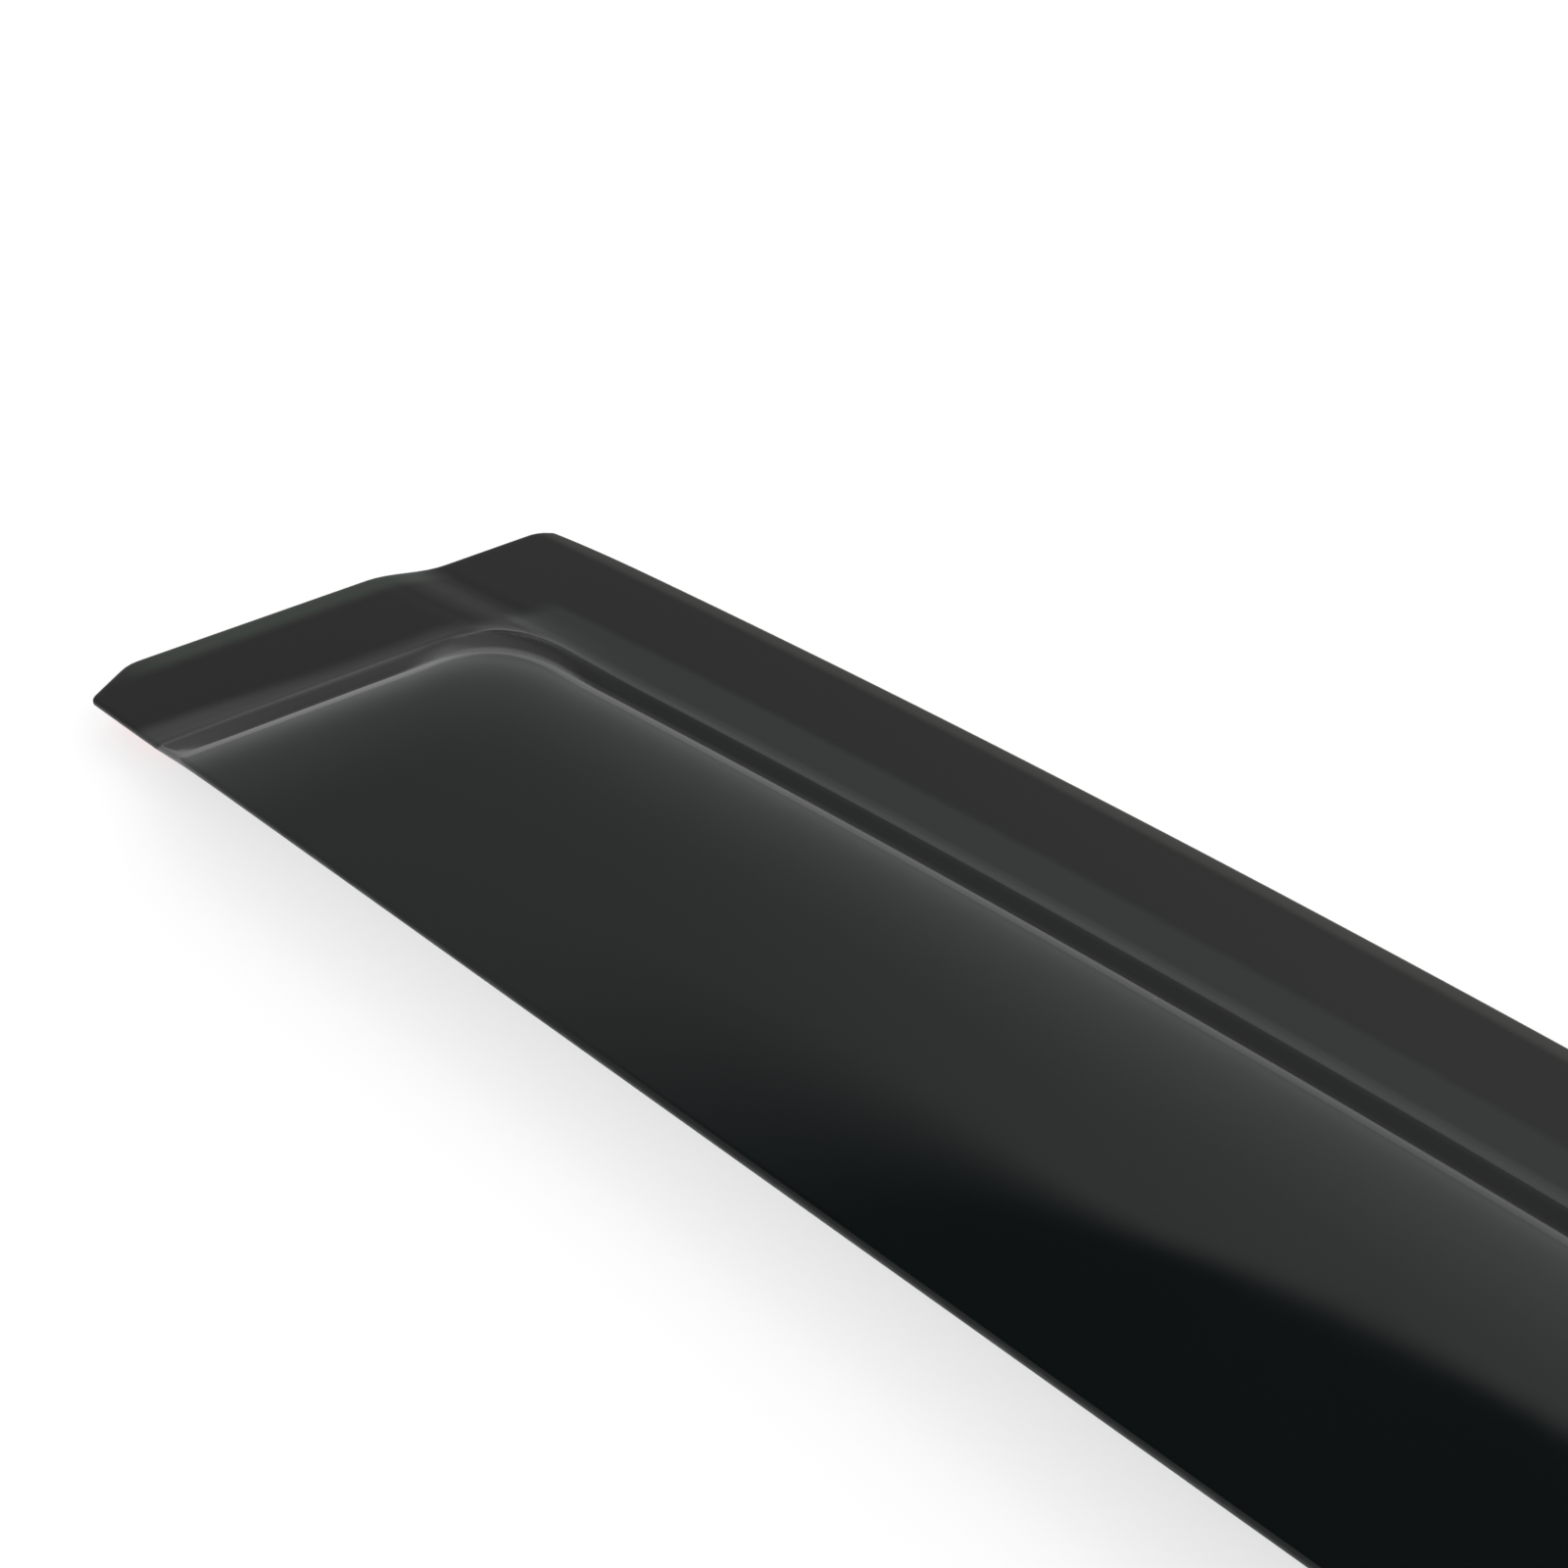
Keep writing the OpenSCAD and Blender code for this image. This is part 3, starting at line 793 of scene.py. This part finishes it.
def release_film(finish):
    """Release liner: glossy red film, paler along faint creases across it."""
    material, graph, shader = new_material("red_release_film")
    place = graph.place()
    nearest = graph.attribute("from_rim_mm")
    folds = graph.add("ShaderNodeMapping", {"Vector": place, "Scale": (1.0, 0.22, 1.0)})
    crease = graph.noise(folds.outputs[0], 120.0, 3.0, 0.55)
    pale = graph.ramp(crease, 0.56, 0.72)
    base = graph.mix(graph.math("MULTIPLY", pale, 0.55), opaque(finish.film),
                     opaque(finish.film_light))
    edge = use_group(graph, wear_and_edge_glint_group(), {"Vector": place, "Distance": nearest,
                                           "Reach": 0.5, "Scale": 500.0})
    base = graph.mix(graph.math("MULTIPLY", edge, 0.5), base, opaque(finish.film_light))
    dust = use_group(graph, dust_group(), {"Vector": place, "Scale": 420.0, "Size": 0.07,
                                           "Share": 0.03})
    base = graph.mix(dust, base, (0.5, 0.45, 0.4, 1.0))
    graph.feed(shader.inputs["Base Color"], base)
    graph.feed(shader.inputs["Roughness"], graph.ramp(crease, 0.3, 0.75, 0.16, 0.32))
    shader.inputs["IOR"].default_value = 1.5
    bump = graph.add("ShaderNodeBump", {"Height": crease, "Strength": 0.5,
                                        "Distance": 0.08 * MM})
    graph.feed(shader.inputs["Normal"], bump.outputs[0])
    return material


# Operators


class DEFLECTOR_OT_moulding(bpy.types.Operator):
    """Build the smoked acrylic moulding"""

    bl_idname = "deflector.moulding"
    bl_label = "Moulding"

    def execute(self, context):
        sizes = context.scene.deflector_moulding
        strips = context.scene.deflector_strips
        surface = MouldingSurface(sizes)
        x, y, inset = surface.plan()
        height = surface.height(x, y)
        level = strips.liner_thickness + strips.tape_thickness + sizes.wall
        crown = strips.tape_rim + strips.tape_width / 2.0
        outer = stack(x, y + crown, level + height - rounding(inset, sizes.edge_radius))

        # The inner face lies one wall inside, square to the outer one
        along, across = surface.slopes(x, y)
        inwards = sizes.wall / np.sqrt(1.0 + along ** 2 + across ** 2)
        from_free = y - y[:, -1:]
        slant = sizes.trim_slope * sizes.wall * ease(1.0 - from_free / TRIM_BAND)
        inner = stack(x + along * inwards, y + across * inwards + slant + crown,
                      level + height - inwards + rounding(inset, sizes.inner_edge_radius))

        from_upper = surface.from_upper(x, y)
        from_end = surface.from_end(x, y)
        nearest = np.minimum(np.minimum(from_upper, from_free), from_end)
        both = np.ones(2)[:, None]
        values = {
            "from_upper_mm": both * from_upper.ravel() / MM,
            "from_end_mm": both * from_end.ravel() / MM,
            "from_rim_mm": both * nearest.ravel() / MM,
            "from_free_mm": both * from_free.ravel() / MM,
            "step_share": both * surface.step_share(x, y).ravel(),
            "outer_face": np.repeat([1.0, 0.0], x.size),
        }
        points, quads = closed_sheet(outer, inner)
        piece = mesh_piece("smoked_moulding", points, quads, values)
        piece.data.materials.append(
            smoked_acrylic(sizes, strips, context.scene.deflector_finish))
        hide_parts("visor_shell")
        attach(piece, "root")
        return {"FINISHED"}


class StripPath:
    """Plan of the tapes: a grid that runs along each strip and across it."""

    def __init__(self, surface, strips):
        self.surface = surface
        self.strips = strips

    def upper(self, along, across):
        """Upper strip: points square in from the upper edge, at a share of the width."""
        surface, strips = self.surface, self.strips
        sizes = surface.sizes
        depth = strips.tape_rim + strips.tape_width * across
        lean_sine, lean_cosine = math.sin(sizes.end_lean), math.cos(sizes.end_lean)
        slope = surface.upper_slope(-sizes.left_length)
        start = (-sizes.left_length + (strips.end_tape_rim - depth * lean_sine)
                 / (lean_cosine - slope * lean_sine))
        stop = sizes.right_length - strips.tape_rim - strips.tape_gap
        x = start + (stop - start) * along
        stretch = surface.upper_stretch(x)
        return (x + surface.upper_slope(x) * depth / stretch,
                surface.upper_edge(x) - depth / stretch)

    def end(self, along, across):
        """End strip: points at a share of the width in from the leaning end edge."""
        surface, strips = self.surface, self.strips
        sizes = surface.sizes
        corner = surface.upper_edge(-sizes.left_length)
        lean_cosine, lean_tangent = math.cos(sizes.end_lean), math.tan(sizes.end_lean)
        top = corner - sizes.raise_from - sizes.raise_run
        foot = (surface.free_edge(-sizes.left_length - sizes.width * lean_tangent)
                + sizes.trim_slope * sizes.wall + strips.tape_gap)
        y = foot + (top - foot) * (1.0 - across)
        inset = strips.end_tape_rim + strips.end_tape_width * along
        x = -sizes.left_length + inset / lean_cosine + (y - corner) * lean_tangent
        return x, y


def strip_sheet(name, path, counts, low, thick, edge_radius, bulge):
    """Strip of even thickness whose edges are rounded and whose sides swell.

    The path gives the plan from two shares, along and across. The rounded edge
    is a quarter circle at each border, and the swelling is a half sine wave.
    """
    def shares(count, run):
        rim = edge_radius * (1.0 - np.cos(RIM_TURNS)) / run
        body = np.linspace(rim[-1], 1.0 - rim[-1], count)[1:-1]
        inset = np.concatenate([rim, np.full(count - 2, rim[-1]), rim[::-1]]) * run
        return np.concatenate([rim, body, 1.0 - rim[::-1]]), inset

    x, y = path(np.array([0.0, 1.0]), np.array([0.5, 0.5]))
    run = float(np.hypot(x[1] - x[0], y[1] - y[0]))
    x, y = path(np.array([0.5, 0.5]), np.array([0.0, 1.0]))
    reach = float(np.hypot(x[1] - x[0], y[1] - y[0]))
    along, along_inset = shares(counts[0], run)
    across, across_inset = shares(counts[1], reach)
    x, y = np.broadcast_arrays(*path(along[:, None], across[None, :]))
    inset = np.minimum(along_inset[:, None], across_inset[None, :])
    drop = rounding(inset, edge_radius)
    top = stack(x, y, low + thick - drop)
    bottom = stack(x, y, low + drop)

    rim = grid_rim(*x.shape)
    border = np.stack([x.ravel()[rim], y.ravel()[rim]], axis=1)
    forward = np.roll(border, -1, axis=0) - np.roll(border, 1, axis=0)
    forward /= np.linalg.norm(forward, axis=1)[:, None]
    outward = np.stack([forward[:, 1], -forward[:, 0]], axis=1)
    sides = []
    for rise in (0.75, 0.5, 0.25):
        swollen = border - outward * bulge * math.sin(math.pi * rise)
        z = low + edge_radius + (thick - 2.0 * edge_radius) * rise
        sides.append(stack(swollen[:, 0], swollen[:, 1], z))
    points, quads = closed_sheet(top, bottom, sides)
    nearest = np.concatenate([inset.ravel(), inset.ravel(), np.zeros(3 * len(rim))])
    return mesh_piece(name, points, quads, {"from_rim_mm": nearest / MM})


class DEFLECTOR_OT_tapes(bpy.types.Operator):
    """Build the foam tapes under the flanges"""

    bl_idname = "deflector.tapes"
    bl_label = "Foam Tapes"

    def execute(self, context):
        sizes = context.scene.deflector_moulding
        strips = context.scene.deflector_strips
        material = foam(context.scene.deflector_finish)
        build_strips(context, "tape", (sizes, strips), material)
        return {"FINISHED"}


class DEFLECTOR_OT_liners(bpy.types.Operator):
    """Build the release liners under the foam tapes"""

    bl_idname = "deflector.liners"
    bl_label = "Release Liners"

    def execute(self, context):
        sizes = context.scene.deflector_moulding
        strips = context.scene.deflector_strips
        material = release_film(context.scene.deflector_finish)
        build_strips(context, "liner", (sizes, strips), material)
        return {"FINISHED"}


def build_strips(context, layer, values, material):
    """Both strips of one layer, the upper one and the end one, with their finish."""
    sizes, strips = values
    path = StripPath(MouldingSurface(sizes), strips)
    crown = strips.tape_rim + strips.tape_width / 2.0
    low = strips.liner_thickness if layer == "tape" else 0.0
    thick = strips.tape_thickness if layer == "tape" else strips.liner_thickness
    rounded = 0.1 * MM if layer == "tape" else 0.03 * MM
    bulge = strips.foam_bulge if layer == "tape" else 0.0

    def moved(plan):
        def place(along, across):
            x, y = plan(along, across)
            return x, y + crown
        return place

    for end, plan, counts, lift in (("upper", path.upper, (260, 14), 0.0),
                                    ("end", path.end, (14, 30), sizes.end_raise)):
        piece = strip_sheet(f"{end}_{layer}_strip", moved(plan), counts, low + lift,
                            thick, rounded, bulge)
        piece.data.materials.append(material)
        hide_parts(f"{end}_{layer}")
        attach(piece, "root")


class DEFLECTOR_OT_stage(bpy.types.Operator):
    """Build the table, the room's light and the camera"""

    bl_idname = "deflector.stage"
    bl_label = "Stage"

    def execute(self, context):
        studio = context.scene.deflector_studio
        self.floor(studio)
        self.room(context.scene, studio)
        self.key_light(studio)
        self.camera(context.scene, studio)
        context.scene.view_settings.view_transform = "Standard"
        return {"FINISHED"}

    def floor(self, studio):
        """Flat table just under the liner."""
        half, steps = 4.0, 9
        side = np.linspace(-half, half, steps)
        points = stack(side[:, None], -side[None, :], -0.02 * MM).reshape(-1, 3)
        floor = mesh_piece("table", points, grid_quads(steps, steps))
        material, graph, shader = new_material("pale_table")
        tone = graph.ramp(graph.noise(graph.place(), 3.0, 2.0), 0.3, 0.7, 0.985, 1.0)
        tint = graph.mix(tone, (0.0, 0.0, 0.0, 1.0), opaque(studio.floor))
        graph.feed(shader.inputs["Base Color"], tint)
        shader.inputs["Roughness"].default_value = 0.6
        shader.inputs["Specular IOR Level"].default_value = 0.2
        floor.data.materials.append(material)
        floor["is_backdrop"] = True

    def room(self, scene, studio):
        """Room, paler to the right and low down, with a dark patch about a middle overhead."""
        world = bpy.data.worlds.new("room")
        world.use_nodes = True
        graph = Graph(world.node_tree)
        background = next(node for node in graph.tree.nodes if node.type == "BACKGROUND")
        right = Vector((math.sin(studio.heading), -math.cos(studio.heading), 0.0))
        middle = (right * math.sin(studio.overhead_tilt)
                  + Vector((0.0, 0.0, math.cos(studio.overhead_tilt))))
        ray = graph.add("ShaderNodeTexCoord").outputs["Generated"]

        def along(direction):
            return graph.add("ShaderNodeVectorMath", {0: ray, 1: direction},
                             operation="DOT_PRODUCT").outputs["Value"]

        side = along(right)
        walls = graph.mix(graph.ramp(side, -0.3, 0.45),
                          opaque(studio.room_left), opaque(studio.room_right))
        walls = graph.mix(graph.ramp(along(Vector((0.0, 0.0, 1.0))), 0.6, 0.0),
                          walls, opaque(studio.horizon))
        inner = graph.ramp(side, -0.16, 0.06, studio.overhead_left, studio.overhead_right)
        blur = graph.ramp(side, -0.16, 0.16, studio.blur_left, studio.blur_right)
        patch = graph.ramp(graph.math("ARCCOSINE", along(middle)),
                           graph.math("ADD", inner, blur), inner)
        graph.feed(background.inputs["Color"],
                   graph.mix(patch, walls, opaque(studio.overhead)))
        scene.world = world

    def key_light(self, studio):
        """Large soft light from beyond the moulding, without shadows or mirror images."""
        data = bpy.data.lights.new("key", "AREA")
        data.shape = "DISK"
        data.size = 0.9
        data.energy = studio.key_power
        light = bpy.data.objects.new("key", data)
        beyond = Vector((math.cos(studio.heading), math.sin(studio.heading), 0.0))
        light.location = beyond * 0.35 + Vector((0.0, 0.0, 1.1))
        light.rotation_euler = (-light.location).to_track_quat("-Z", "Y").to_euler()
        light.visible_glossy = False
        data.use_shadow = False
        bpy.context.scene.collection.objects.link(light)

    def camera(self, scene, studio):
        """Camera at the photograph's viewing angle."""
        data = bpy.data.cameras.new("camera")
        data.sensor_width = 36.0
        data.lens = studio.lens
        data.clip_start = 0.005
        data.clip_end = 50.0
        camera = bpy.data.objects.new("camera", data)
        camera.location = studio.camera_place
        level = math.cos(studio.pitch)
        looking = Vector((level * math.cos(studio.heading), level * math.sin(studio.heading),
                          -math.sin(studio.pitch)))
        camera.rotation_euler = looking.to_track_quat("-Z", "Y").to_euler()
        scene.collection.objects.link(camera)
        scene.camera = camera


class DEFLECTOR_PT_sidebar(bpy.types.Panel):
    """Sizes, finishes and stage of the deflector, with their operators"""

    bl_label = "Rain Deflector"
    bl_idname = "DEFLECTOR_PT_sidebar"
    bl_space_type = "VIEW_3D"
    bl_region_type = "UI"
    bl_category = "Deflector"

    def draw(self, context):
        layout = self.layout
        for title, group, operators in (
                ("Moulding", "deflector_moulding", (DEFLECTOR_OT_moulding,)),
                ("Tapes and Liners", "deflector_strips",
                 (DEFLECTOR_OT_tapes, DEFLECTOR_OT_liners)),
                ("Finishes", "deflector_finish", ()),
                ("Stage", "deflector_studio", (DEFLECTOR_OT_stage,))):
            box = layout.box()
            box.label(text=title)
            values = getattr(context.scene, group)
            for key in values.bl_rna.properties.keys():
                if key not in {"rna_type", "name"}:
                    box.prop(values, key)
            for operator in operators:
                box.operator(operator.bl_idname)


CLASSES = (MouldingSizes, StripSizes, FinishValues, StudioValues,
           DEFLECTOR_OT_moulding, DEFLECTOR_OT_tapes, DEFLECTOR_OT_liners,
           DEFLECTOR_OT_stage, DEFLECTOR_PT_sidebar)


def register():
    """Register the classes and hang the property groups on the scene."""
    for cls in CLASSES:
        bpy.utils.register_class(cls)
    bpy.types.Scene.deflector_moulding = PointerProperty(type=MouldingSizes)
    bpy.types.Scene.deflector_strips = PointerProperty(type=StripSizes)
    bpy.types.Scene.deflector_finish = PointerProperty(type=FinishValues)
    bpy.types.Scene.deflector_studio = PointerProperty(type=StudioValues)


def unregister():
    """Take the property groups off the scene and unregister the classes."""
    for key in ("deflector_moulding", "deflector_strips", "deflector_finish",
                "deflector_studio"):
        delattr(bpy.types.Scene, key)
    for cls in reversed(CLASSES):
        bpy.utils.unregister_class(cls)


def main():
    """Register, build every piece and the stage, and work out the two boxes."""
    register()
    bpy.ops.deflector.moulding()
    bpy.ops.deflector.tapes()
    bpy.ops.deflector.liners()
    bpy.ops.deflector.stage()
    boxes = {"cad": cad_bounds, "visual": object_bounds()}
    {key: [list(corner) for corner in box] for key, box in boxes.items()}


if __name__ == "__main__":
    main()
